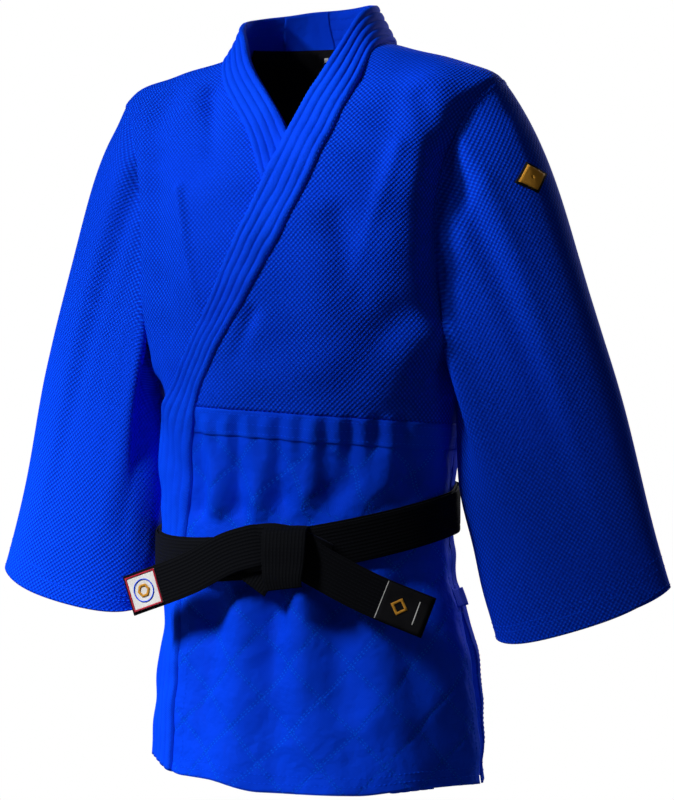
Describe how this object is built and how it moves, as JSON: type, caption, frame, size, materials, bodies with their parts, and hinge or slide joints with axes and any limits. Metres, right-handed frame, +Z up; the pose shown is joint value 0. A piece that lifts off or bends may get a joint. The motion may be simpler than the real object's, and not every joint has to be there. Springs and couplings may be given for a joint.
{
  "type": "judo jacket with belt",
  "caption": "Blue double-weave judo jacket, closed left over right and tied with a black belt, with slit quilted skirt.",
  "frame": {"origin": "middle of the neck base, where the jacket hangs from the shoulders", "axes": "+Z up, -Y towards the front of the jacket, +X towards the wearer's left"},
  "size_m": [0.7504, 0.2672, 0.8094],
  "materials": {
    "weave_blue": "rice-grain double weave cotton, matte",
    "quilted_blue": "light twill with diamond quilting",
    "twill_blue": "close twill with lengthwise stitching",
    "belt_black": "cotton tape with lengthwise stitching",
    "core_felt": "stiff cotton padding inside the collar",
    "black_cloth": "smooth black cotton",
    "gold_thread": "embroidered thread",
    "white_thread": "woven badge",
    "red_thread": "embroidered thread"
  },
  "bodies": {
    "jacket": {"back_body": "weave_blue", "left_front_body": "weave_blue", "right_front_body": "weave_blue", "back_lining": "black_cloth", "left_lapel": "twill_blue", "right_lapel": "twill_blue", "left_lapel_core": "core_felt", "right_lapel_core": "core_felt", "neck_band": "twill_blue", "neck_band_core": "core_felt", "neck_patch": "twill_blue", "left_waist_band": "twill_blue", "right_waist_band": "twill_blue", "back_waist_band": "twill_blue", "left_front_skirt": "quilted_blue", "right_front_skirt": "quilted_blue", "back_skirt": "quilted_blue", "left_vent_tab": "twill_blue", "right_vent_tab": "twill_blue", "size_label": "black_cloth", "belt_inner_wrap": "belt_black", "belt_outer_wrap": "belt_black", "belt_knot": "belt_black", "belt_loop_end": "belt_black"},
    "left_sleeve": {"left_sleeve": "weave_blue", "left_cuff_hem": "twill_blue", "left_gusset": "twill_blue", "emblem_ground": "black_cloth", "emblem_motif": "gold_thread"},
    "right_sleeve": {"right_sleeve": "weave_blue", "right_cuff_hem": "twill_blue", "right_gusset": "twill_blue"},
    "front_skirt": {"left_front_flap": "quilted_blue", "right_front_flap": "quilted_blue", "left_lapel_tail": "twill_blue", "right_lapel_tail": "twill_blue"},
    "back_skirt": {"back_flap": "quilted_blue"},
    "left_tail": {"belt_left_tail": "belt_black", "tail_label": "black_cloth"},
    "right_tail": {"belt_right_tail": "belt_black", "tail_badge": "white_thread", "tail_badge_border": "red_thread"}
  },
  "joints": [
    {"name": "left_sleeve_raise", "type": "hinge", "parent": "jacket", "child": "left_sleeve", "pos_m": [0.203, 0.004, -0.046], "axis": [0, -1, 0], "range_deg": [0, 60]},
    {"name": "right_sleeve_raise", "type": "hinge", "parent": "jacket", "child": "right_sleeve", "pos_m": [-0.203, 0.004, -0.046], "axis": [0, 1, 0], "range_deg": [0, 60]},
    {"name": "front_skirt_swing", "type": "hinge", "parent": "jacket", "child": "front_skirt", "pos_m": [0, -0.1235, -0.61], "axis": [-1, 0, 0], "range_deg": [0, 30], "stiffness_Nm_per_rad": 0.4, "springref_deg": -28.65},
    {"name": "back_skirt_swing", "type": "hinge", "parent": "jacket", "child": "back_skirt", "pos_m": [0, 0.1145, -0.61], "axis": [1, 0, 0], "range_deg": [0, 35], "stiffness_Nm_per_rad": 0.3, "springref_deg": -28.65},
    {"name": "left_tail_drop", "type": "hinge", "parent": "jacket", "child": "left_tail", "pos_m": [0.014, -0.1374, -0.5167], "axis": [-0.2357, 0.9428, -0.2357], "range_deg": [0, 40], "stiffness_Nm_per_rad": 0.08, "springref_deg": -20.05},
    {"name": "right_tail_drop", "type": "hinge", "parent": "jacket", "child": "right_tail", "pos_m": [0.014, -0.1374, -0.5167], "axis": [-0.2357, -0.9428, 0.2357], "range_deg": [0, 40], "stiffness_Nm_per_rad": 0.08, "springref_deg": -20.05}
  ]
}
